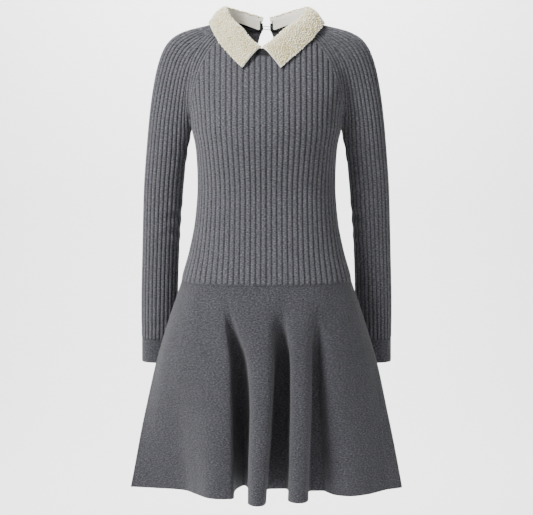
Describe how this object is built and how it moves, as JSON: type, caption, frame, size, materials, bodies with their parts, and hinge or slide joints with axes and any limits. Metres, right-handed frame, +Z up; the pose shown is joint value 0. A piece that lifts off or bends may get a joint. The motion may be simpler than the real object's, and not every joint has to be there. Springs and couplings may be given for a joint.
{
  "type": "knitted sweater dress with beaded collar",
  "caption": "Long-sleeved ribbed knit raglan dress with a flared folded skirt and a beaded two-leaf pointed collar, hollow as worn.",
  "frame": {"origin": "middle of the shoulders, between the two raglan sleeve tops, where the wearer carries the dress", "axes": "+X to the wearer's left, -Y to the wearer's front, +Z up from hem to collar"},
  "size_m": [0.4978, 0.2902, 0.8672],
  "materials": {
    "knit": "heathered grey wool knit, ribbed, matte",
    "skirt_knit": "heathered grey wool knit, plain, matte",
    "neckband_knit": "dark grey knit band, matte",
    "beaded_collar": "ivory cloth densely sewn with small pearl beads",
    "collar_cloth": "ivory woven cloth, soft sheen",
    "wire": "thin bent steel wire"
  },
  "bodies": {
    "root": {"bodice_front": "knit", "bodice_back": "knit", "sleeve_right": "knit", "sleeve_left": "knit", "cuff_right": "skirt_knit", "cuff_left": "skirt_knit", "skirt_front": "skirt_knit", "skirt_back": "skirt_knit", "neckband": "neckband_knit", "collar_right": "beaded_collar", "collar_left": "beaded_collar", "collar_stand_right": "collar_cloth", "collar_stand_left": "collar_cloth", "back_eye": "wire", "back_hook": "wire"}
  },
  "joints": []
}
